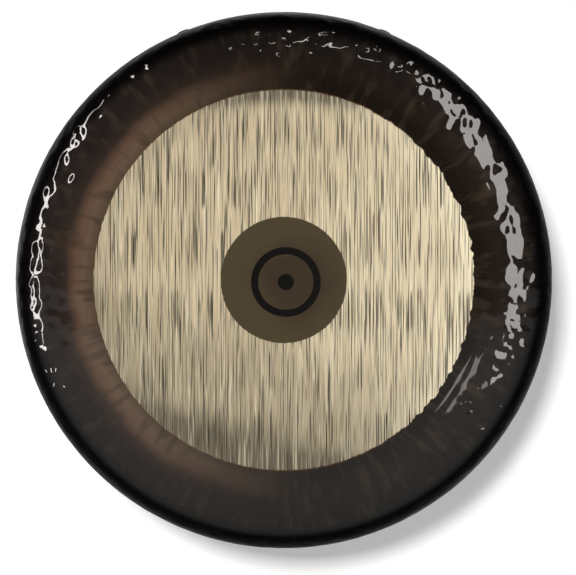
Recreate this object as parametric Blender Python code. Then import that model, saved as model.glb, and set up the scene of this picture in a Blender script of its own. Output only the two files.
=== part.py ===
"""A hanging gong 813 mm across: one spun and hammered sheet of nickel silver with its rim turned
back, and a rubber grommet in each of its two cord holes.

Frame: +Z is up and the struck face looks along -Y. The origin is midway between the two cord
holes, on the line that the gong swings about.
"""

import math
from typing import NamedTuple

import bmesh
import bpy
from mathutils import Matrix

# The sheet, in metres and degrees. A slope is how far the sheet leans back from the face's plane.
GONG_DIAMETER = 0.813
SHEET = 0.0015
DOME_RISE = 0.006
RIM_BAND = 0.110
GROOVE_WIDTH = 0.016
GROOVE_SLOPE = 9.0
BOW_START_SLOPE = 5.0
SHOULDER_START_SLOPE = 24.0
SHOULDER_RADIUS = 0.046
FLANGE_LENGTH = 0.024
FLANGE_TAPER = 5.0

# The two cord holes, in the flange either side of the top, and how far each grommet's collar
# stays from the gong's rear edge.
CORD_HOLE_DIAMETER = 0.0143
CORD_HOLE_SPACING = 0.304
REAR_EDGE_MARGIN = 0.0022

# The rubber grommets: the wall lines the hole, and a collar grips the sheet on each side.
GROMMET_WALL = 0.0022
COLLAR_REACH = 0.0028
COLLAR_THICKNESS = 0.0026
COLLAR_ROUNDING = 0.0012

# The gaps between rubber and metal. The one across the sheet also leaves room for its curve.
HOLE_GAP = 0.0003
SHEET_GAP = 0.0006

# How finely the round shapes are faceted.
GONG_SEGMENTS = 96
DOME_RINGS = 4
BOW_RINGS = 4
GROOVE_SIDE_RINGS = 2
SHOULDER_RING_ANGLE = 8.0
GROMMET_SEGMENTS = 24
ROUNDING_RINGS = 2

CUTTER_LENGTH = 0.03
MERGE_DISTANCE = 0.00001
CRISP_EDGE_ANGLE = 40.0


class SkinPoint(NamedTuple):
    """A place on the gong's outer skin in section, with its depth back from the middle of the face
    and its slope in radians."""

    radius: float
    depth: float
    slope: float

    def moved(self, along, inward):
        """The place this far along the skin's slope and this far into the sheet."""
        return SkinPoint(
            self.radius + along * math.cos(self.slope) - inward * math.sin(self.slope),
            self.depth + along * math.sin(self.slope) + inward * math.cos(self.slope),
            self.slope,
        )


def bend(skin, bend_radius, end_slope, rings):
    """Carries the skin on along an arc until it leans at end_slope."""
    start = skin[-1]
    for ring in range(1, rings + 1):
        slope = start.slope + (end_slope - start.slope) * ring / rings
        skin.append(SkinPoint(
            start.radius + bend_radius * (math.sin(slope) - math.sin(start.slope)),
            start.depth + bend_radius * (math.cos(start.slope) - math.cos(slope)),
            slope,
        ))


def bend_across(skin, width, end_slope, rings):
    """Carries the skin on across a width of radius, along the one arc that ends at end_slope."""
    bend_radius = width / (math.sin(end_slope) - math.sin(skin[-1].slope))
    bend(skin, bend_radius, end_slope, rings)


def gong_skin():
    """The outer skin, from the middle of the face out and round to the rear edge.

    The face is a shallow dome. A groove parts it from the bowed rim band, and a round shoulder
    turns the band back into the flange, which narrows a little towards the rear."""
    dome_radius = GONG_DIAMETER / 2 - RIM_BAND
    dome_slope = 2 * math.atan(DOME_RISE / dome_radius)
    groove_slope = math.radians(GROOVE_SLOPE)
    bow_slope = math.radians(BOW_START_SLOPE)
    shoulder_slope = math.radians(SHOULDER_START_SLOPE)
    flange_slope = math.radians(90 + FLANGE_TAPER)
    shoulder_width = SHOULDER_RADIUS * (1 - math.sin(shoulder_slope))
    bow_width = RIM_BAND - GROOVE_WIDTH - shoulder_width
    shoulder_rings = math.ceil((90 + FLANGE_TAPER - SHOULDER_START_SLOPE) / SHOULDER_RING_ANGLE)

    skin = [SkinPoint(0, 0, 0)]
    bend_across(skin, dome_radius, dome_slope, DOME_RINGS)
    bend_across(skin, GROOVE_WIDTH / 2, groove_slope, GROOVE_SIDE_RINGS)
    bend_across(skin, GROOVE_WIDTH / 2, bow_slope, GROOVE_SIDE_RINGS)
    bend_across(skin, bow_width, shoulder_slope, BOW_RINGS)
    bend(skin, SHOULDER_RADIUS, flange_slope, shoulder_rings)
    skin.append(skin[-1].moved(FLANGE_LENGTH, 0))
    return skin


def cord_hole_seat(skin):
    """The centre of a cord hole in section, in the middle of the sheet's thickness."""
    from_rear_edge = REAR_EDGE_MARGIN + COLLAR_REACH + CORD_HOLE_DIAMETER / 2
    return skin[-1].moved(-from_rear_edge, SHEET / 2)


def axis_drop(seat):
    """How far the gong's own axis lies below the line between the cord holes."""
    return math.sqrt(seat.radius ** 2 - (CORD_HOLE_SPACING / 2) ** 2)


def cord_hole_frame(seat, side):
    """The placement of one cord hole, whose +Z runs out through the flange. The left hole's side
    is -1 and the right hole's is 1."""
    turn = side * math.asin(CORD_HOLE_SPACING / 2 / seat.radius)
    return (
        Matrix.Translation((0, 0, -axis_drop(seat)))
        @ Matrix.Rotation(turn, 4, "Y")
        @ Matrix.Translation((0, 0, seat.radius))
        @ Matrix.Rotation(math.pi / 2 - seat.slope, 4, "X")
    )


def material(name, color, roughness, metallic):
    finish = bpy.data.materials.new(name)
    finish.use_nodes = True
    shader = finish.node_tree.nodes["Principled BSDF"]
    shader.inputs["Base Color"].default_value = (*color, 1)
    shader.inputs["Roughness"].default_value = roughness
    shader.inputs["Metallic"].default_value = metallic
    finish.diffuse_color = (*color, 1)
    return finish


def turned_mesh(name, section, closed, segments):
    """A section of (radius, height) points, turned all the way round Z."""
    shape = bmesh.new()
    points = [shape.verts.new((radius, 0, height)) for radius, height in section]
    following = points[1:] + points[:1] if closed else points[1:]
    lines = [shape.edges.new(pair) for pair in zip(points, following)]
    bmesh.ops.spin(
        shape,
        geom=points + lines,
        axis=(0, 0, 1),
        angle=math.tau,
        steps=segments,
        use_merge=True,
    )
    bmesh.ops.remove_doubles(shape, verts=shape.verts, dist=MERGE_DISTANCE)
    bmesh.ops.recalc_face_normals(shape, faces=shape.faces)
    mesh = bpy.data.meshes.new(name)
    shape.to_mesh(mesh)
    shape.free()
    mesh.shade_smooth()
    mesh.set_sharp_from_angle(angle=math.radians(CRISP_EDGE_ANGLE))
    return mesh


def placed(name, mesh, frame):
    piece = bpy.data.objects.new(name, mesh)
    bpy.context.scene.collection.objects.link(piece)
    piece.matrix_world = frame
    return piece


def hole_cutter(name, frame):
    """A round bar through the flange, which cuts one cord hole and isn't part of the gong."""
    shape = bmesh.new()
    bmesh.ops.create_cone(
        shape,
        cap_ends=True,
        segments=GROMMET_SEGMENTS,
        radius1=CORD_HOLE_DIAMETER / 2,
        radius2=CORD_HOLE_DIAMETER / 2,
        depth=CUTTER_LENGTH,
    )
    mesh = bpy.data.meshes.new(name)
    shape.to_mesh(mesh)
    shape.free()
    cutter = placed(name, mesh, frame)
    cutter.hide_render = True
    cutter.display_type = "WIRE"
    return cutter


def gong_body(skin, seat, cutters):
    """The sheet: its outer skin and its inner skin, with the rear edge trimmed flat between them."""
    rear = skin[-1]
    inner = [point.moved(0, SHEET) for point in skin[:-1]]
    inner.append(SkinPoint(rear.radius - SHEET / math.sin(rear.slope), rear.depth, rear.slope))
    section = [(point.radius, seat.depth - point.depth) for point in skin + inner[::-1]]

    mesh = turned_mesh("gong_body", section, False, GONG_SEGMENTS)
    mesh.materials.append(material("nickel_silver", (0.58, 0.49, 0.34), 0.35, 1.0))
    face_forward = Matrix.Rotation(math.pi / 2, 4, "X")
    gong = placed("gong_body", mesh, Matrix.Translation((0, 0, -axis_drop(seat))) @ face_forward)
    for cutter in cutters:
        cut = gong.modifiers.new(cutter.name, "BOOLEAN")
        cut.operation = "DIFFERENCE"
        cut.solver = "EXACT"
        cut.object = cutter


def rounded_corner(radius, height, outward, upward):
    """A quarter round in place of a section's corner, from its end face to its side. The last two
    values are 1 or -1: which way the corner points."""
    corner = []
    for ring in range(ROUNDING_RINGS + 1):
        turn = math.pi / 2 * ring / ROUNDING_RINGS
        corner.append((
            radius - outward * COLLAR_ROUNDING * (1 - math.sin(turn)),
            height - upward * COLLAR_ROUNDING * (1 - math.cos(turn)),
        ))
    return corner


def grommet_section():
    """The ring's section: a rounded collar each side of the groove that the sheet sits in."""
    hole = CORD_HOLE_DIAMETER / 2
    waist = hole - HOLE_GAP
    bore = waist - GROMMET_WALL
    collar = hole + COLLAR_REACH
    groove = SHEET / 2 + SHEET_GAP
    end = groove + COLLAR_THICKNESS
    return [
        *rounded_corner(collar, end, 1, 1),
        (collar, groove),
        (waist, groove),
        (waist, -groove),
        (collar, -groove),
        *rounded_corner(collar, -end, 1, -1)[::-1],
        *rounded_corner(bore, -end, -1, -1),
        *rounded_corner(bore, end, -1, 1)[::-1],
    ]


def grommets(frames):
    ring = turned_mesh("grommet", grommet_section(), True, GROMMET_SEGMENTS)
    ring.materials.append(material("black_rubber", (0.02, 0.02, 0.02), 0.75, 0.0))
    for side, frame in frames.items():
        placed(f"{side}_grommet", ring, frame)


def clear_scene():
    for obj in list(bpy.data.objects):
        bpy.data.objects.remove(obj, do_unlink=True)


def main():
    clear_scene()
    skin = gong_skin()
    seat = cord_hole_seat(skin)
    frames = {"left": cord_hole_frame(seat, -1), "right": cord_hole_frame(seat, 1)}
    cutters = [hole_cutter(f"{side}_cord_hole", frame) for side, frame in frames.items()]
    gong_body(skin, seat, cutters)
    grommets(frames)


main()
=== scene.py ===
"""Looks of a hanging gong 813 mm across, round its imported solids: one hammered sheet of nickel
silver with a scraped bright face, and a rubber grommet in each of its two cord holes."""

import math

import bmesh
import bpy
from mathutils import Matrix, Vector


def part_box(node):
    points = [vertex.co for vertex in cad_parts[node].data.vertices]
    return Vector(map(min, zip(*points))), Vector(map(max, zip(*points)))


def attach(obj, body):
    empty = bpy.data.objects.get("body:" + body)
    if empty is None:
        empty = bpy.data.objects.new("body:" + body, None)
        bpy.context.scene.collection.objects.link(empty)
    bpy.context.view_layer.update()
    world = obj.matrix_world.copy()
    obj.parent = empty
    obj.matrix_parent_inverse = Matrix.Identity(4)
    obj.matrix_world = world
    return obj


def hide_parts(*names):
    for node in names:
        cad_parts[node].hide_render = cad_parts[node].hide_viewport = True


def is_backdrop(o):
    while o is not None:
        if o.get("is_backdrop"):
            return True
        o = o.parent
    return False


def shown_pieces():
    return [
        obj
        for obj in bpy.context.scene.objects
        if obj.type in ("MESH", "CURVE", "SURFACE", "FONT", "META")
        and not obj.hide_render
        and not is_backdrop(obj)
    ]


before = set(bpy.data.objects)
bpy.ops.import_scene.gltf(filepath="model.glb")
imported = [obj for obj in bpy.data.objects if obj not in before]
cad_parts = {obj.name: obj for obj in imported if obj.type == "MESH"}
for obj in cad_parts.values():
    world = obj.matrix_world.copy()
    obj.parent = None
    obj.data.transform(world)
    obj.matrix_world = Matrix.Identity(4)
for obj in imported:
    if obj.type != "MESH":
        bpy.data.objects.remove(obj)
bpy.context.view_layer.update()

# The sheet in section: a shallow domed face, a groove round it, the bowed rim band, and the round
# shoulder that turns the sheet back into its flange. It was spun from one disc of nickel silver
# and then hammered, and its rear edge was trimmed flat.
body_low, body_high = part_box("gong_body")
AXIS_HEIGHT = (body_low.z + body_high.z) / 2
FACE_Y = body_low.y
GONG_DIAMETER = 0.813
SHEET = 0.0015
DOME_RISE = 0.006
RIM_BAND = 0.110
GROOVE_WIDTH = 0.016
GROOVE_SLOPE = math.radians(9)
BOW_START_SLOPE = math.radians(5)
SHOULDER_START_SLOPE = math.radians(24)
SHOULDER_RADIUS = 0.046
FLANGE_LENGTH = 0.024
FLANGE_SLOPE = math.radians(95)
PLAIN_FACE_SHARE = 0.9
COARSE_STEP = 0.024
OUTER_STEP = 0.0031
INNER_STEP = 0.0040
SEGMENTS = 680


def bend(section, bend_radius, end_slope, step):
    """Carries the section on along an arc until the sheet leans at end_slope."""
    radius, depth, slope = section[-1]
    places = math.ceil(abs(bend_radius * (end_slope - slope)) / step)
    for place in range(1, places + 1):
        lean = slope + (end_slope - slope) * place / places
        section.append((
            radius + bend_radius * (math.sin(lean) - math.sin(slope)),
            depth + bend_radius * (math.cos(slope) - math.cos(lean)),
            lean,
        ))


def bend_across(section, width, end_slope, step):
    """Carries the section on across a width of radius, along the one arc that ends at end_slope."""
    bend(section, width / (math.sin(end_slope) - math.sin(section[-1][2])), end_slope, step)


def outer_section(step):
    """Places (radius, depth, slope) on the struck side, from the middle out to the rear edge."""
    dome_radius = GONG_DIAMETER / 2 - RIM_BAND
    dome_slope = 2 * math.atan(DOME_RISE / dome_radius)
    dome_bend = dome_radius / math.sin(dome_slope)
    section = [(0, 0, 0)]
    bend(section, dome_bend, dome_slope * PLAIN_FACE_SHARE, COARSE_STEP)
    bend(section, dome_bend, dome_slope, step)
    bend_across(section, GROOVE_WIDTH / 2, GROOVE_SLOPE, step)
    bend_across(section, GROOVE_WIDTH / 2, BOW_START_SLOPE, step)
    shoulder_width = SHOULDER_RADIUS * (1 - math.sin(SHOULDER_START_SLOPE))
    bend_across(section, RIM_BAND - GROOVE_WIDTH - shoulder_width, SHOULDER_START_SLOPE, step)
    bend(section, SHOULDER_RADIUS, FLANGE_SLOPE, step)
    radius, depth, slope = section[-1]
    rows = math.ceil(FLANGE_LENGTH / step)
    for row in range(1, rows + 1):
        along = FLANGE_LENGTH * row / rows
        section.append((radius + along * math.cos(slope), depth + along * math.sin(slope), slope))
    return section


def inner_place(radius, depth, slope):
    """The place on the open side, one sheet's thickness in from a place on the struck side."""
    return radius - SHEET * math.sin(slope), depth + SHEET * math.cos(slope), slope


outer_places = outer_section(OUTER_STEP)
under_places = outer_section(INNER_STEP)
inner_places = [inner_place(*place) for place in under_places]
rear_radius, rear_depth, rear_slope = outer_places[-1]
inner_places[-1] = (rear_radius - SHEET / math.sin(rear_slope), rear_depth, rear_slope)

section_mesh = bpy.data.meshes.new("gong_section")
section_mesh.from_pydata(
    [(radius, FACE_Y + depth, 0) for radius, depth, _ in outer_places + inner_places[::-1]], [], [])

# Each place of the section also knows the place of the struck side above it, so that both sides
# of the sheet are hammered alike.
struck_places = outer_places + under_places[::-1]
lean = section_mesh.attributes.new("lean", "FLOAT", "POINT")
lean.data.foreach_set("value", [slope for _, _, slope in struck_places])
struck_place = section_mesh.attributes.new("struck_place", "FLOAT_VECTOR", "POINT")
struck_values = [
    value for radius, depth, _ in struck_places for value in (radius, FACE_Y + depth, 0)]
struck_place.data.foreach_set("vector", struck_values)

# The hammering: round blows side by side on the shoulder, with small ones between them, and slow
# swells that the earlier, heavier blows left. The sheet keeps its thickness, because both of its
# sides move alike, and it stays true round the cord holes.
DENT_WIDTH = 0.0225
DENT_DEPTH = 0.0012
DENT_TILT = 0.30
SWELL_WIDTH = 0.080
SWELL_HEIGHT = 0.0020
WANDER_SHARE = 0.45
WANDERS_PER_SWELL = 2.6
BLOW_PATCH = 0.06
SMALL_DENT_WIDTH = 0.0105
SMALL_DENT_DEPTH = 0.00040
RIM_SWELLS_RADIUS = (0.262, 0.330)
DENTS_RADIUS = (0.312, 0.340)
FLANGE_CALMS_Y = (-0.052, -0.028)
FLANGE_CALM = 0.75
TRUE_ROUND_HOLE = 0.013
HAMMERED_ROUND_HOLE = 0.032
MERGE_DISTANCE = 0.00001
CRISP_EDGE = math.radians(40)
HOLE_DIAMETER = 0.0143
HOLE_SIDES = ("left", "right")
ROUNDING_GUARD = 0.0001
struck_finish = bpy.data.materials.new("scraped_and_oxidised")
back_finish = bpy.data.materials.new("oxidised_back")
edge_finish = bpy.data.materials.new("trimmed_edge")


class Wire:
    """A value in a node tree. Arithmetic on wires adds the Math nodes that work it out."""

    def __init__(self, nodes, socket):
        self.nodes = nodes
        self.socket = socket

    def maths(self, operation, *others):
        return self.nodes.add(
            "ShaderNodeMath", {"operation": operation}, dict(enumerate((self, *others))))

    def __add__(self, other):
        return self.maths("ADD", other)

    def __sub__(self, other):
        return self.maths("SUBTRACT", other)

    def __rsub__(self, other):
        return self * -1 + other

    def __mul__(self, other):
        return self.maths("MULTIPLY", other)

    def __truediv__(self, other):
        return self.maths("DIVIDE", other)

    def __rtruediv__(self, other):
        return self.maths("POWER", -1) * other

    def __pow__(self, other):
        return self.maths("POWER", other)

    __radd__ = __add__
    __rmul__ = __mul__


class Nodes:
    """One node tree, emptied and built up again node by node."""

    def __init__(self, tree):
        self.tree = tree
        tree.nodes.clear()

    def add(self, kind, settings=None, sockets=None, output=0):
        """A node of this kind: its settings come first, then its sockets' values or links."""
        node = self.tree.nodes.new(kind)
        for name, value in (settings or {}).items():
            if name == "stops":
                self.set_stops(node.color_ramp, value)
            else:
                setattr(node, name, value)
        for name, value in (sockets or {}).items():
            if isinstance(value, Wire):
                self.tree.links.new(value.socket, node.inputs[name])
            else:
                node.inputs[name].default_value = value
        return Wire(self, node.outputs[output]) if node.outputs else node

    def set_stops(self, ramp, stops):
        while len(ramp.elements) < len(stops):
            ramp.elements.new(1)
        for element, (place, colour) in zip(ramp.elements, stops):
            element.position = place
            element.color = (*colour, 1)

    def output(self, wire, name):
        """Another output of the node that a wire comes from."""
        return Wire(self, wire.socket.node.outputs[name])

    def vector(self, operation, *values, output=0):
        return self.add(
            "ShaderNodeVectorMath", {"operation": operation}, dict(enumerate(values)), output)

    def ramp_up(self, value, start, end):
        """0 up to start and 1 from end on, with a smooth rise between."""
        return self.add(
            "ShaderNodeMapRange",
            {"interpolation_type": "SMOOTHSTEP"},
            {"Value": value, "From Min": start, "From Max": end},
        )

    def past(self, value, limit, blur):
        """0 below a limit and 1 above it, with a narrow blur to each side."""
        return self.ramp_up(value, limit - blur, limit + blur)

    def noise(self, vector, scale, detail=2.0):
        return self.add(
            "ShaderNodeTexNoise",
            {"noise_dimensions": "3D"},
            {"Vector": vector, "Scale": scale, "Detail": detail},
        )

    def stretched(self, place, scales):
        """A place with each of its axes multiplied by its own scale."""
        return self.vector("MULTIPLY", place, scales)

    def mixed(self, factor, first, second):
        """The first colour where the factor is 0 and the second where it is 1."""
        return self.add(
            "ShaderNodeMix", {"data_type": "RGBA"}, {0: factor, 6: first, 7: second}, 2)

    def joined(self, x, y, z):
        return self.add("ShaderNodeCombineXYZ", None, {0: x, 1: y, 2: z})

    def split(self, vector):
        first = self.add("ShaderNodeSeparateXYZ", None, {0: vector})
        return first, self.output(first, 1), self.output(first, 2)


hole_centres = {}
for side in HOLE_SIDES:
    grommet_low, grommet_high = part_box(f"{side}_grommet")
    hole_centres[side] = (grommet_low + grommet_high) / 2

hammering = bpy.data.node_groups.new("spun_and_hammered_sheet", "GeometryNodeTree")
hammering.interface.new_socket("Geometry", in_out="OUTPUT", socket_type="NodeSocketGeometry")
HAMMERING_INPUTS = (
    ("Section", "NodeSocketGeometry", None),
    ("Places", "NodeSocketInt", len(struck_places)),
    ("Struck places", "NodeSocketInt", len(outer_places)),
    ("Segments", "NodeSocketInt", SEGMENTS),
    ("Axis height", "NodeSocketFloat", AXIS_HEIGHT),
    ("Dent width", "NodeSocketFloat", DENT_WIDTH),
    ("Dent depth", "NodeSocketFloat", DENT_DEPTH),
    ("Dent tilt", "NodeSocketFloat", DENT_TILT),
    ("Swell width", "NodeSocketFloat", SWELL_WIDTH),
    ("Swell height", "NodeSocketFloat", SWELL_HEIGHT),
    ("Left hole", "NodeSocketVector", hole_centres["left"]),
    ("Right hole", "NodeSocketVector", hole_centres["right"]),
)
for name, kind, _ in HAMMERING_INPUTS:
    hammering.interface.new_socket(name, in_out="INPUT", socket_type=kind)

geo = Nodes(hammering)
given = geo.add("NodeGroupInput")
given = {name: geo.output(given, name) for name, _, _ in HAMMERING_INPUTS}
columns = given["Segments"] + 1
grid = geo.add(
    "GeometryNodeMeshGrid", None, {"Vertices X": given["Places"], "Vertices Y": columns})
index = geo.add("GeometryNodeInputIndex")
place_number = (index / columns + ROUNDING_GUARD).maths("FLOOR")
turn = (index - place_number * columns) / given["Segments"] * math.tau


def read_section(kind, value):
    """What the section holds at this place of the grid."""
    return geo.add(
        "GeometryNodeSampleIndex",
        {"data_type": kind, "domain": "POINT"},
        {"Geometry": given["Section"], "Value": value, "Index": place_number},
    )


position = geo.add("GeometryNodeInputPosition")
section_lean = geo.add(
    "GeometryNodeInputNamedAttribute", {"data_type": "FLOAT"}, {"Name": "lean"})
section_struck = geo.add(
    "GeometryNodeInputNamedAttribute", {"data_type": "FLOAT_VECTOR"}, {"Name": "struck_place"})
place_radius, place_y, _ = geo.split(read_section("FLOAT_VECTOR", position))
struck_radius, struck_y, _ = geo.split(read_section("FLOAT_VECTOR", section_struck))
place_lean = read_section("FLOAT", section_lean)
across, up = turn.maths("COSINE"), turn.maths("SINE")


def turned(radius, y):
    """A place of the section, turned round the gong's axis."""
    return geo.joined(across * radius, y, up * radius + given["Axis height"])


struck_point = turned(struck_radius, struck_y)
outward = geo.joined(
    across * place_lean.maths("SINE"),
    place_lean.maths("COSINE") * -1,
    up * place_lean.maths("SINE"),
)

rim_share = geo.ramp_up(struck_radius, *RIM_SWELLS_RADIUS)
shoulder_share = geo.ramp_up(struck_radius, *DENTS_RADIUS)
flange_share = 1 - geo.ramp_up(struck_y, *FLANGE_CALMS_Y) * FLANGE_CALM
swell = geo.noise(struck_point, 1 / given["Swell width"], 1.0) - 0.5
swell = swell * given["Swell height"] * (rim_share * 0.75 + 0.25)
wander = geo.noise(struck_point, WANDERS_PER_SWELL / given["Swell width"], 1.0) - 0.5
wander = wander * given["Swell height"] * WANDER_SHARE * shoulder_share

# the blows, stronger in some patches than in others, and each leaning its own way
blows = geo.add(
    "ShaderNodeTexVoronoi",
    {"voronoi_dimensions": "3D", "feature": "F1"},
    {"Vector": struck_point, "Scale": 1 / given["Dent width"], "Randomness": 0.9},
)
blow_strength = geo.ramp_up(geo.noise(struck_point, 1 / BLOW_PATCH, 1.0), 0.36, 0.60)
dents = (blows ** 2 * 1.7 - 0.45) * given["Dent depth"] * (blow_strength * 0.75 + 0.25)
blow_offset = geo.vector("SUBTRACT", struck_point, geo.output(blows, "Position"))
blow_lean = geo.vector("SUBTRACT", geo.output(blows, "Color"), (0.5, 0.5, 0.5))
tilted = geo.vector("DOT_PRODUCT", blow_offset, blow_lean, output=1)
tilted = tilted * given["Dent tilt"] * (1 - geo.ramp_up(blows, 0.22, 0.62))
dents = (dents + tilted) * shoulder_share
small_blows = geo.add(
    "ShaderNodeTexVoronoi",
    {"voronoi_dimensions": "3D", "feature": "F1"},
    {"Vector": struck_point, "Scale": 1 / SMALL_DENT_WIDTH, "Randomness": 1.0},
)
small_dents = (small_blows ** 2 - 0.25) * SMALL_DENT_DEPTH * shoulder_share
hole_share = 1
for side in HOLE_SIDES:
    distance = geo.vector("DISTANCE", struck_point, given[f"{side.capitalize()} hole"], output=1)
    hole_share = geo.ramp_up(distance, TRUE_ROUND_HOLE, HAMMERED_ROUND_HOLE) * hole_share
lift = (swell + wander + dents + small_dents) * flange_share * hole_share
lifting = geo.add(
    "ShaderNodeVectorMath", {"operation": "SCALE"}, {"Vector": outward, "Scale": lift})
lifted = geo.vector("ADD", turned(place_radius, place_y), lifting)

numbered = geo.add(
    "GeometryNodeStoreNamedAttribute",
    {"data_type": "FLOAT", "domain": "POINT"},
    {"Geometry": grid, "Name": "place_number", "Value": place_number},
)
raised = geo.add("GeometryNodeSetPosition", None, {"Geometry": numbered, "Position": lifted})
merged = geo.add(
    "GeometryNodeMergeByDistance", None, {"Geometry": raised, "Distance": MERGE_DISTANCE})
smooth = geo.add(
    "GeometryNodeSetShadeSmooth", {"domain": "FACE"}, {"Geometry": merged, "Shade Smooth": True})
edge_angle = geo.add("GeometryNodeInputMeshEdgeAngle")
crisp = geo.add(
    "GeometryNodeSetShadeSmooth",
    {"domain": "EDGE"},
    {
        "Geometry": smooth,
        "Selection": edge_angle.maths("GREATER_THAN", CRISP_EDGE),
        "Shade Smooth": False,
    },
)
realised = geo.add("GeometryNodeRealizeInstances", None, {"Geometry": crisp})
number = geo.add(
    "GeometryNodeInputNamedAttribute", {"data_type": "FLOAT"}, {"Name": "place_number"})
finished = realised

# A face's number is the mean of its corners' numbers, so the ring of faces that joins the two
# sides at the rear edge lies half a place past the last one of the struck side.
past_struck = number - given["Struck places"]
for finish, selection in (
    (struck_finish, past_struck.maths("LESS_THAN", -1)),
    (edge_finish, past_struck.maths("COMPARE", -0.5, 0.4)),
    (back_finish, past_struck.maths("GREATER_THAN", 0)),
):
    finished = geo.add(
        "GeometryNodeSetMaterial",
        None,
        {"Geometry": finished, "Selection": selection, "Material": finish},
    )
geo.add("NodeGroupOutput", None, {"Geometry": finished})

blank = bpy.data.objects.new("gong_blank", section_mesh)
bpy.context.scene.collection.objects.link(blank)
spinning = blank.modifiers.new("spun_and_hammered", "NODES")
spinning.node_group = hammering
socket_ids = {
    item.name: item.identifier
    for item in hammering.interface.items_tree
    if item.in_out == "INPUT"
}
for name, _, value in HAMMERING_INPUTS:
    if value is not None:
        spinning[socket_ids[name]] = value

# The two cord holes, drilled square through the flange either side of the top.
DRILL_LENGTH = 0.03
DRILL_SEGMENTS = 48
hole_frames = {}
drills = []
for side, centre in hole_centres.items():
    radial = Vector((centre.x, 0, centre.z - AXIS_HEIGHT)).normalized()
    through = radial * math.sin(FLANGE_SLOPE) - Vector((0, 1, 0)) * math.cos(FLANGE_SLOPE)
    upright = through.to_track_quat("Z", "Y").to_matrix().to_4x4()
    hole_frames[side] = Matrix.Translation(centre) @ upright
    shape = bmesh.new()
    bmesh.ops.create_cone(
        shape, cap_ends=True, segments=DRILL_SEGMENTS, radius1=HOLE_DIAMETER / 2,
        radius2=HOLE_DIAMETER / 2, depth=DRILL_LENGTH, matrix=hole_frames[side])
    drill_mesh = bpy.data.meshes.new(f"{side}_drill")
    shape.to_mesh(drill_mesh)
    shape.free()
    drill_mesh.materials.append(edge_finish)
    drill = bpy.data.objects.new(f"{side}_drill", drill_mesh)
    bpy.context.scene.collection.objects.link(drill)
    drills.append(drill)
    drilled = blank.modifiers.new(f"{side}_hole", "BOOLEAN")
    drilled.operation = "DIFFERENCE"
    drilled.solver = "MANIFOLD"
    drilled.material_mode = "TRANSFER"
    drilled.object = drill

depsgraph = bpy.context.evaluated_depsgraph_get()
gong_mesh = bpy.data.meshes.new_from_object(blank.evaluated_get(depsgraph), depsgraph=depsgraph)
gong_mesh.name = "hammered_sheet"

# The tree leaves an empty first slot, from before the sheet had its finishes.
gong_mesh.materials.pop(index=0)
for used in (blank, *drills):
    bpy.data.objects.remove(used, do_unlink=True)
gong = bpy.data.objects.new("hammered_sheet", gong_mesh)
bpy.context.scene.collection.objects.link(gong)
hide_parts("gong_body")
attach(gong, "root")

# The struck side's finish. The middle disc and the rim keep the dark skin of the heated metal,
# lacquered to a gloss on the rim. The ring between them is scraped bright with upright strokes,
# and a painted ring round a dot marks the middle.
SCRAPED_RADIUS = 0.2838
DISC_RADIUS = 0.0942
LACQUER_END = 0.389
LACQUER_FADE = 0.012
FLANGE_LACQUER_DEPTH = (0.055, 0.068)
FLANGE_LACQUER = 0.7
FLANGE_PALER_DEPTH = (0.050, 0.078)
SKINS_MEET = 0.151
SCRAPER_BLUR = 0.0006
DISC_BLUR = 0.0004
RUST_LINE = (0.2839, 0.2856)
WIDE_STROKE_GRAIN = (230, 1, 5)
STROKE_GRAIN = (430, 1, 8)
FINE_STROKE_GRAIN = (620, 1, 11)
MARK_OFFSET = (0.003, -0.003)
MARK_RING = (0.0413, 0.0520)
MARK_DOT = 0.0121


def centred_place(nodes):
    """The piece's own coordinates, with the gong's axis at nought."""
    coordinates = nodes.add("ShaderNodeTexCoord", output="Object")
    return nodes.add(
        "ShaderNodeMapping", {"vector_type": "POINT"},
        {"Vector": coordinates, "Location": (0, -FACE_Y, -AXIS_HEIGHT)})


struck_finish.use_nodes = True
paint = Nodes(struck_finish.node_tree)
place = centred_place(paint)
x, y, z = paint.split(place)
flat_place = paint.joined(x, 0, z)
radius = paint.vector("LENGTH", flat_place, output=1)
direction = paint.vector("NORMALIZE", flat_place)
to_right, _, _ = paint.split(direction)
left_share = paint.ramp_up(to_right * -1, -0.2, 0.9)
right_share = paint.ramp_up(to_right, 0.2, 0.9)
round_place = paint.vector("ADD", paint.stretched(direction, (60, 60, 60)),
                           paint.joined(0, radius * 55, 0))
cloud = paint.noise(flat_place, 14, 2.0)
mottle = paint.noise(flat_place, 45, 3.0)
speckle = paint.noise(flat_place, 420, 2.0)

# where the scraper stopped
scallop = paint.noise(paint.stretched(direction, (19, 19, 19)), 1.0, 1.0) - 0.5
small_scallop = paint.noise(paint.stretched(flat_place, (330, 330, 60)), 1.0, 1.0) - 0.5
edge_shift = scallop * (right_share * 0.0100 + 0.0018) + small_scallop * 0.0034
edge_radius = radius + edge_shift
scraped = 1 - paint.past(edge_radius, SCRAPED_RADIUS, SCRAPER_BLUR)
disc_jag = paint.noise(paint.stretched(flat_place, (700, 700, 120)), 1.0, 0.0) - 0.5
scraped = scraped * paint.past(radius + disc_jag * 0.0022, DISC_RADIUS, DISC_BLUR)

# the scraper's strokes
wide_strokes = paint.noise(paint.stretched(flat_place, WIDE_STROKE_GRAIN), 1.0, 1.0)
strokes = paint.noise(paint.stretched(flat_place, STROKE_GRAIN), 1.0, 2.0)
fine_strokes = paint.noise(paint.stretched(flat_place, FINE_STROKE_GRAIN), 1.0, 0.0)
skipped = paint.ramp_up(strokes, 0.54, 0.62)
skipped_fine = paint.ramp_up(fine_strokes, 0.56, 0.68)
bright_lines = paint.ramp_up(strokes * -1, -0.42, -0.30)
stroke_tone = (wide_strokes - 0.5) * 0.55 + (strokes - 0.5) * 0.6 + (fine_strokes - 0.5) * 0.5

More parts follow.
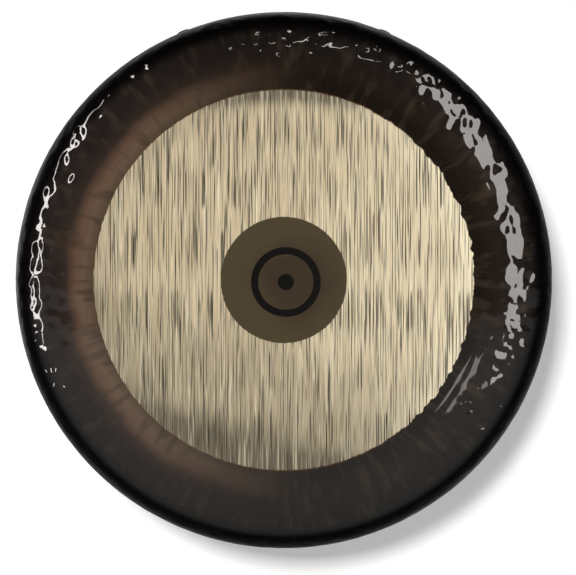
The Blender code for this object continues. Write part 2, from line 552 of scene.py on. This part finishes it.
# tarnish that the scraper left near its limits, and darker towards the bottom and the lower left;
# it is thinned on the right side, which is painted light standing in for the right lamp
edge_band = paint.ramp_up(edge_radius + (wide_strokes - 0.5) * 0.03, 0.244, 0.282)
low_place = z * -1 + (wide_strokes - 0.5) * 0.06 - x * 0.28
low_band = paint.ramp_up(low_place, 0.03, 0.17) * 0.42 + paint.ramp_up(low_place, 0.205, 0.275)
top_band = paint.ramp_up(z + (strokes - 0.5) * 0.03, 0.244, 0.272) * 0.85
tarnish_and_painted_light = low_band * 0.72 + edge_band * 0.25 * (1 - right_share) + top_band * edge_band
tarnish_and_painted_light = tarnish_and_painted_light + (cloud - 0.5) * 0.30 - right_share * 0.06
tarnish_and_painted_light = tarnish_and_painted_light.maths("MAXIMUM", 0.0).maths("MINIMUM", 0.92)
metal_and_painted_highlight_colour = paint.mixed(tarnish_and_painted_light, (0.74, 0.63, 0.42, 1), (0.15, 0.13, 0.092, 1))
# painted highlight: the right side of the scraped ring is mixed towards pale gold, most near its
# edge, where the right lamp shines
metal_and_painted_highlight_colour = paint.mixed(
    right_share * (edge_band * 0.5 + 0.25), metal_and_painted_highlight_colour, (1.0, 0.93, 0.70, 1))
metal_and_painted_highlight_colour = paint.mixed(
    paint.ramp_up(stroke_tone, -0.06, 0.14) * 0.75, metal_and_painted_highlight_colour, (1.0, 0.92, 0.68, 1))
unscraped_lines = (skipped * 0.75 + skipped_fine * 0.8).maths("MINIMUM", 1.0)
metal_and_painted_highlight_colour = paint.mixed(unscraped_lines, metal_and_painted_highlight_colour, (0.045, 0.036, 0.024, 1))
stroke_bump = paint.add(
    "ShaderNodeBump", None,
    {"Strength": 0.35, "Distance": 0.0006, "Height": strokes * 0.6 + fine_strokes * 0.4})
scraped_metal = paint.add(
    "ShaderNodeBsdfPrincipled",
    None,
    {
        "Base Color": metal_and_painted_highlight_colour,
        "Metallic": 0.88,
        "Roughness": (1 - bright_lines * 0.15) * 0.50,
        "Anisotropic": 0.75,
        "Normal": stroke_bump,
    },
)

# the dark skin of the rim; its left side is painted a lighter brown, a painted reflection of light
# from the left
share = radius / (GONG_DIAMETER / 2)
left_lit_colour = paint.add("ShaderNodeValToRGB", {"stops": (
    (0.690, (0.120, 0.086, 0.058)),
    (0.735, (0.205, 0.138, 0.090)),
    (0.765, (0.190, 0.116, 0.076)),
    (0.805, (0.050, 0.033, 0.025)),
    (0.850, (0.026, 0.019, 0.017)),
    (0.915, (0.020, 0.014, 0.012)),
    (0.955, (0.004, 0.003, 0.002)),
)}, {0: share + (cloud - 0.5) * 0.05})
plain_colour = paint.add("ShaderNodeValToRGB", {"stops": (
    (0.690, (0.016, 0.010, 0.006)),
    (0.740, (0.012, 0.008, 0.005)),
    (0.785, (0.020, 0.013, 0.008)),
    (0.850, (0.016, 0.011, 0.009)),
    (0.915, (0.012, 0.009, 0.007)),
    (0.940, (0.002, 0.0014, 0.001)),
)}, {0: share + (cloud - 0.5) * 0.04})
# painted light: the left side of the rim takes the lighter brown ramp
skin_and_painted_light_colour = paint.mixed(left_share, plain_colour, left_lit_colour)
skin_and_painted_light_colour = paint.mixed(
    paint.ramp_up(paint.noise(round_place, 0.35, 2.0), 0.48, 0.72) * 0.55,
    skin_and_painted_light_colour, (0.060, 0.043, 0.028, 1))
skin_and_painted_light_colour = paint.mixed(
    paint.ramp_up(share, 0.90, 0.945), skin_and_painted_light_colour, (0.0016, 0.0010, 0.0008, 1))
skin_and_painted_light_colour = paint.mixed(
    paint.ramp_up(y + (mottle - 0.5) * 0.03, *FLANGE_PALER_DEPTH),
    skin_and_painted_light_colour, (0.020, 0.014, 0.010, 1))
rust = paint.past(edge_radius, RUST_LINE[0], SCRAPER_BLUR / 2)
rust = rust * (1 - paint.past(edge_radius, RUST_LINE[1], SCRAPER_BLUR))
skin_and_painted_light_colour = paint.mixed(rust * (1 - right_share) * 0.6, skin_and_painted_light_colour, (0.16, 0.07, 0.02, 1))
ripples = paint.noise(paint.vector("ADD", paint.stretched(direction, (75, 75, 75)),
                                   paint.joined(0, radius * 12, 0)), 1.0, 2.0)
skin_bump = paint.add(
    "ShaderNodeBump", None,
    {"Strength": 0.5, "Distance": 0.0005, "Height": ripples * 0.5 + mottle * 0.35 + speckle * 0.02})
lacquer = 1 - paint.ramp_up(radius, LACQUER_END - LACQUER_FADE, LACQUER_END)
lacquer = lacquer + paint.ramp_up(y, *FLANGE_LACQUER_DEPTH) * FLANGE_LACQUER
dark_skin = paint.add(
    "ShaderNodeBsdfPrincipled",
    None,
    {
        "Base Color": skin_and_painted_light_colour,
        "Metallic": 0.25,
        "Roughness": 0.45,
        "Specular IOR Level": 0.04,
        "Coat Weight": lacquer,
        "Coat Roughness": 0.035,
        "Normal": skin_bump,
    },
)

# the middle disc and its painted mark
from_mark = paint.vector(
    "LENGTH", paint.joined(x - MARK_OFFSET[0], 0, z - MARK_OFFSET[1]), output=1)
mark = paint.past(from_mark, MARK_RING[0], DISC_BLUR)
mark = mark * (1 - paint.past(from_mark, MARK_RING[1], DISC_BLUR))
mark = mark + (1 - paint.past(from_mark, MARK_DOT, DISC_BLUR))
disc_tone = paint.ramp_up(from_mark + (cloud - 0.5) * 0.05 - x * 0.25, 0.02, 0.085)
disc_colour = paint.mixed(disc_tone, (0.064, 0.042, 0.024, 1), (0.112, 0.084, 0.043, 1))
disc_colour = paint.mixed(mottle * 0.30, disc_colour, (0.070, 0.060, 0.036, 1))
disc_colour = paint.mixed(mark, disc_colour, (0.0032, 0.0028, 0.0020, 1))
disc_bump = paint.add(
    "ShaderNodeBump", None, {"Strength": 0.3, "Distance": 0.0004, "Height": mottle + mark * 0.2})
disc_skin = paint.add(
    "ShaderNodeBsdfPrincipled",
    None,
    {
        "Base Color": disc_colour,
        "Metallic": 0.25,
        "Roughness": 0.55 - mark * 0.15,
        "Specular IOR Level": 0.2,
        "Normal": disc_bump,
    },
)
unscraped = paint.add(
    "ShaderNodeMixShader", None,
    {0: paint.past(radius, SKINS_MEET, 0.001), 1: disc_skin, 2: dark_skin})
whole = paint.add("ShaderNodeMixShader", None, {0: scraped, 1: unscraped, 2: scraped_metal})
paint.add("ShaderNodeOutputMaterial", None, {"Surface": whole})

# The open side's finish: dark brown oxide, left as it came from the fire, with paler hammer marks.
back_finish.use_nodes = True
brown = Nodes(back_finish.node_tree)
place = centred_place(brown)
back_cloud = brown.noise(place, 9, 3.0)
back_mottle = brown.noise(place, 60, 3.0)
back_blows = brown.add(
    "ShaderNodeTexVoronoi", {"feature": "F1"}, {"Vector": place, "Scale": 38, "Randomness": 0.9})
back_colour = brown.mixed(
    brown.ramp_up(back_cloud, 0.35, 0.65), (0.075, 0.050, 0.033, 1), (0.19, 0.135, 0.086, 1))
back_colour = brown.mixed(
    brown.ramp_up(back_blows * -1, -0.30, -0.05) * 0.45, back_colour, (0.34, 0.26, 0.165, 1))
back_colour = brown.mixed(
    brown.ramp_up(back_mottle, 0.52, 0.75) * 0.5, back_colour, (0.022, 0.016, 0.013, 1))
back_bump = brown.add(
    "ShaderNodeBump", None,
    {"Strength": 0.8, "Distance": 0.0016, "Height": back_blows ** 2 + back_mottle * 0.12})
back_metal = brown.add(
    "ShaderNodeBsdfPrincipled",
    None,
    {
        "Base Color": back_colour,
        "Metallic": 0.65,
        "Roughness": back_mottle * 0.25 + 0.28,
        "Normal": back_bump,
    },
)
brown.add("ShaderNodeOutputMaterial", None, {"Surface": back_metal})

# The rear edge and the walls of the cord holes: bare metal, as the shears and the drill left it.
edge_finish.use_nodes = True
bare = Nodes(edge_finish.node_tree)
place = centred_place(bare)
filed = bare.noise(place, 900, 2.0)
bare_colour = bare.mixed(filed, (0.42, 0.36, 0.25, 1), (0.66, 0.58, 0.42, 1))
filed_bump = bare.add(
    "ShaderNodeBump", None, {"Strength": 0.3, "Distance": 0.0002, "Height": filed})
bare_metal = bare.add(
    "ShaderNodeBsdfPrincipled", None,
    {"Base Color": bare_colour, "Metallic": 1.0, "Roughness": 0.38, "Normal": filed_bump})
bare.add("ShaderNodeOutputMaterial", None, {"Surface": bare_metal})

# The two cord grommets: black moulded rubber rings, pushed into the holes. A groove round each
# grips the sheet, and a fine line round each collar is where the two halves of the mould met.
GROMMET_WALL = 0.0022
HOLE_GAP = 0.0003
SHEET_GAP = 0.0006
COLLAR_REACH = 0.0028
COLLAR_THICKNESS = 0.0026
COLLAR_ROUNDING = 0.0012
ROUNDING_RINGS = 6
MOULD_LINE = 0.00012
GROMMET_SEGMENTS = 72

rubber_finish = bpy.data.materials.new("moulded_rubber")
rubber_finish.use_nodes = True
rubber = Nodes(rubber_finish.node_tree)
rubber_place = rubber.add("ShaderNodeTexCoord", output="Object")
grain = rubber.noise(rubber_place, 2600, 3.0)
bloom = rubber.noise(rubber_place, 160, 2.0)
rubber_colour = rubber.mixed(
    rubber.ramp_up(bloom, 0.40, 0.70) * 0.6, (0.013, 0.013, 0.013, 1), (0.034, 0.033, 0.031, 1))
grain_bump = rubber.add(
    "ShaderNodeBump", None, {"Strength": 0.35, "Distance": 0.0002, "Height": grain})
black_rubber = rubber.add(
    "ShaderNodeBsdfPrincipled",
    None,
    {
        "Base Color": rubber_colour,
        "Roughness": bloom * 0.3 + 0.42,
        "Specular IOR Level": 0.4,
        "Normal": grain_bump,
    },
)
rubber.add("ShaderNodeOutputMaterial", None, {"Surface": black_rubber})


def rounded_corner(corner_radius, height, outward_sign, upward_sign):
    """A quarter round in place of a section's corner, from its end face to its side."""
    corner = []
    for ring in range(ROUNDING_RINGS + 1):
        corner_turn = math.pi / 2 * ring / ROUNDING_RINGS
        corner.append((
            corner_radius - outward_sign * COLLAR_ROUNDING * (1 - math.sin(corner_turn)),
            height - upward_sign * COLLAR_ROUNDING * (1 - math.cos(corner_turn)),
        ))
    return corner


hole_radius = HOLE_DIAMETER / 2
waist_radius = hole_radius - HOLE_GAP
bore_radius = waist_radius - GROMMET_WALL
collar_radius = hole_radius + COLLAR_REACH
groove_height = SHEET / 2 + SHEET_GAP
end_height = groove_height + COLLAR_THICKNESS
line_height = groove_height + (COLLAR_THICKNESS - COLLAR_ROUNDING) / 2


def mould_line(height):
    """The small ridge round a collar."""
    return [
        (collar_radius, height + MOULD_LINE),
        (collar_radius + MOULD_LINE, height),
        (collar_radius, height - MOULD_LINE),
    ]


grommet_section = [
    *rounded_corner(collar_radius, end_height, 1, 1),
    *mould_line(line_height),
    (collar_radius, groove_height),
    (waist_radius, groove_height),
    (waist_radius, -groove_height),
    (collar_radius, -groove_height),
    *mould_line(-line_height),
    *rounded_corner(collar_radius, -end_height, 1, -1)[::-1],
    *rounded_corner(bore_radius, -end_height, -1, -1),
    *rounded_corner(bore_radius, end_height, -1, 1)[::-1],
]
for side, hole_frame in hole_frames.items():
    shape = bmesh.new()
    ring_points = [shape.verts.new((reach, 0, height)) for reach, height in grommet_section]
    ring_lines = [
        shape.edges.new(pair) for pair in zip(ring_points, ring_points[1:] + ring_points[:1])]
    bmesh.ops.spin(
        shape, geom=ring_points + ring_lines, axis=(0, 0, 1), angle=math.tau,
        steps=GROMMET_SEGMENTS, use_merge=True)
    bmesh.ops.remove_doubles(shape, verts=shape.verts, dist=MERGE_DISTANCE)
    bmesh.ops.recalc_face_normals(shape, faces=shape.faces)
    shape.transform(hole_frame)
    ring_mesh = bpy.data.meshes.new(f"{side}_rubber_ring")
    shape.to_mesh(ring_mesh)
    shape.free()
    ring_mesh.shade_smooth()
    ring_mesh.set_sharp_from_angle(angle=CRISP_EDGE)
    ring_mesh.materials.append(rubber_finish)
    rubber_ring = bpy.data.objects.new(f"{side}_rubber_ring", ring_mesh)
    bpy.context.scene.collection.objects.link(rubber_ring)
    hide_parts(f"{side}_grommet")
    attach(rubber_ring, "root")

# The stage: a pale floor below the view, and a white wall behind the gong that is seen from its
# front only, so that views from behind look through it. Both also glow a little towards the
# camera and for the rays that metal and glass send out.
FLOOR_HEIGHT = -1.05
FLOOR_REACH = 16
WALL_Y = 0.30
WALL_REACH = 0.62
FLOOR_GLOW = 0.22
WALL_GLOW = 0.36


def stage_plane(name, corners, finish, collection):
    """A flat sheet of the stage, with its front to the side that its corners go round leftwards."""
    plane_mesh = bpy.data.meshes.new(name)
    plane_mesh.from_pydata(corners, [], [(0, 1, 2, 3)])
    plane_mesh.materials.append(finish)
    plane = bpy.data.objects.new(name, plane_mesh)
    collection.objects.link(plane)
    plane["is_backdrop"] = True


def looking_rays(nodes):
    """Whether a ray comes from the camera, and whether it comes off metal or through glass."""
    from_camera = nodes.add("ShaderNodeLightPath", output="Is Camera Ray")
    glossy = nodes.output(from_camera, "Is Glossy Ray")
    return from_camera, glossy + nodes.output(from_camera, "Is Transmission Ray")


floor_collection = bpy.data.collections.new("floor")
wall_collection = bpy.data.collections.new("wall")
for collection in (floor_collection, wall_collection):
    bpy.context.scene.collection.children.link(collection)
floor_finish = bpy.data.materials.new("pale_floor")
floor_finish.use_nodes = True
pale = Nodes(floor_finish.node_tree)
from_camera, from_metal = looking_rays(pale)
floor_shader = pale.add(
    "ShaderNodeBsdfPrincipled",
    None,
    {
        "Base Color": (0.50, 0.50, 0.49, 1),
        "Roughness": 0.8,
        "Specular IOR Level": 0.1,
        "Emission Color": (1, 1, 0.99, 1),
        "Emission Strength": (from_camera + from_metal) * FLOOR_GLOW,
    },
)
pale.add("ShaderNodeOutputMaterial", None, {"Surface": floor_shader})
stage_plane("floor", [
    (-FLOOR_REACH, -FLOOR_REACH, FLOOR_HEIGHT),
    (FLOOR_REACH, -FLOOR_REACH, FLOOR_HEIGHT),
    (FLOOR_REACH, FLOOR_REACH, FLOOR_HEIGHT),
    (-FLOOR_REACH, FLOOR_REACH, FLOOR_HEIGHT),
], floor_finish, floor_collection)

wall_finish = bpy.data.materials.new("white_wall")
wall_finish.use_nodes = True
white = Nodes(wall_finish.node_tree)
from_camera, from_metal = looking_rays(white)
wall_diffuse = white.add("ShaderNodeBsdfDiffuse", None, {"Color": (0.90, 0.90, 0.90, 1)})
wall_glow = white.add(
    "ShaderNodeEmission", None, {"Strength": (from_camera + from_metal) * WALL_GLOW})
wall_front = white.add("ShaderNodeAddShader", None, {0: wall_diffuse, 1: wall_glow})
wall_back = white.add("ShaderNodeBsdfTransparent")
from_behind = white.add("ShaderNodeNewGeometry", output="Backfacing")
wall_shader = white.add(
    "ShaderNodeMixShader", None, {0: from_behind, 1: wall_front, 2: wall_back})
white.add("ShaderNodeOutputMaterial", None, {"Surface": wall_shader})
stage_plane("wall", [
    (-WALL_REACH, WALL_Y, AXIS_HEIGHT - WALL_REACH),
    (WALL_REACH, WALL_Y, AXIS_HEIGHT - WALL_REACH),
    (WALL_REACH, WALL_Y, AXIS_HEIGHT + WALL_REACH),
    (-WALL_REACH, WALL_Y, AXIS_HEIGHT + WALL_REACH),
], wall_finish, wall_collection)

# The studio light. Each lamp is given by its direction from the gong's middle, in degrees round
# from the front and up from level, and by its width and height as they are seen from there. Most
# light the gong alone, so that the wall and the floor can be lit by lamps of their own.
GONG_CENTRE = Vector((0, -0.04, AXIS_HEIGHT))
LAMP_DISTANCE = 3.2
object_collection = bpy.data.collections.new("object")
bpy.context.scene.collection.children.link(object_collection)
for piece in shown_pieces():
    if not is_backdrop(piece):
        object_collection.objects.link(piece)


def lamp(name, azimuth, elevation, wide, tall, radiance, colour, lit, distance=LAMP_DISTANCE):
    """A soft rectangle of light that lights one collection of objects."""
    turn_round, rise = math.radians(azimuth), math.radians(elevation)
    towards = Vector((
        math.sin(turn_round) * math.cos(rise),
        -math.cos(turn_round) * math.cos(rise),
        math.sin(rise),
    ))
    light = bpy.data.lights.new(name, "AREA")
    light.shape = "RECTANGLE"
    light.size = 2 * distance * math.tan(math.radians(wide / 2))
    light.size_y = 2 * distance * math.tan(math.radians(tall / 2))
    light.energy = radiance * math.pi * light.size * light.size_y
    light.color = colour
    source = bpy.data.objects.new(name, light)
    source.location = GONG_CENTRE + towards * distance
    source.rotation_euler = towards.to_track_quat("Z", "Y").to_euler()
    source.visible_camera = False
    bpy.context.scene.collection.objects.link(source)
    source.light_linking.receiver_collection = lit


WARM = (1.0, 0.95, 0.90)
PLAIN = (1.0, 1.0, 1.0)
SOFTBOX_WHITE = (1.0, 0.96, 0.94)
STRIP_WHITE = (1.0, 0.95, 0.92)
ROSY = (1.0, 0.93, 0.89)
WALL_LAMP_DISTANCE = 9.0
FLOOR_LAMP_DISTANCE = 6.0
lamp("right_softbox", 39, 8, 12, 64, 7.6, SOFTBOX_WHITE, object_collection)
lamp("left_strip", -56, 4, 4, 74, 20.0, STRIP_WHITE, object_collection)
lamp("front_fill", 3, 2, 9, 9, 3.2, WARM, object_collection)
lamp("low_panel", 18, -11, 7, 6, 3.6, ROSY, object_collection)
lamp("top_sparkle", 10, 44, 14, 1.4, 12.0, WARM, object_collection)
lamp("back_panel", 180, 30, 70, 40, 2.6, PLAIN, object_collection)
lamp("back_strip", 222, 10, 12, 60, 5.0, WARM, object_collection)
lamp("shadow_key", -6.5, 8.0, 5.5, 5.5, 250.0, PLAIN, wall_collection, WALL_LAMP_DISTANCE)
lamp("floor_light", 0, 84, 50, 50, 1.6, PLAIN, floor_collection, FLOOR_LAMP_DISTANCE)

# The world: a dim studio in front of the gong and a pale one behind it. The camera sees it pale
# on every side, and metal and glass see it pale behind the gong.
DIM_AIR = (0.035, 0.035, 0.035, 1)
LIT_AIR = (0.40, 0.40, 0.40, 1)
PALE_AIR = (0.93, 0.93, 0.93, 1)
world = bpy.data.worlds.new("studio")
bpy.context.scene.world = world
world.use_nodes = True
air = Nodes(world.node_tree)
sky_direction = air.add("ShaderNodeTexCoord", output="Generated")
_, sky_back, _ = air.split(sky_direction)
behind_gong = air.ramp_up(sky_back, 0.25, 0.8)
from_camera, from_metal = looking_rays(air)
sky = air.mixed(behind_gong, DIM_AIR, LIT_AIR)
sky = air.mixed(from_camera + from_metal * behind_gong, sky, PALE_AIR)
background = air.add("ShaderNodeBackground", None, {"Color": sky})
air.add("ShaderNodeOutputWorld", None, {"Surface": background})

# The camera: straight on to the face from 4 m, with the gong where the photograph has it.
PHOTO_WIDTH = 576
PHOTO_GONG_RADIUS = 268.1
PHOTO_GONG_CENTRE = (283.9, 280.1)
PHOTO_MIDDLE = (288.0, 287.5)
CAMERA_DISTANCE = 4.0
OUTLINE_Y = -0.016
pixel = GONG_DIAMETER / 2 / PHOTO_GONG_RADIUS
camera_data = bpy.data.cameras.new("camera")
camera_data.sensor_width = 36
camera_data.lens = camera_data.sensor_width * CAMERA_DISTANCE / (PHOTO_WIDTH * pixel)
camera = bpy.data.objects.new("camera", camera_data)
camera.location = (
    (PHOTO_MIDDLE[0] - PHOTO_GONG_CENTRE[0]) * pixel,
    OUTLINE_Y - CAMERA_DISTANCE,
    AXIS_HEIGHT - (PHOTO_MIDDLE[1] - PHOTO_GONG_CENTRE[1]) * pixel,
)
camera.rotation_euler = (math.pi / 2, 0, 0)
bpy.context.scene.collection.objects.link(camera)
bpy.context.scene.camera = camera
bpy.context.scene.view_settings.view_transform = "Standard"
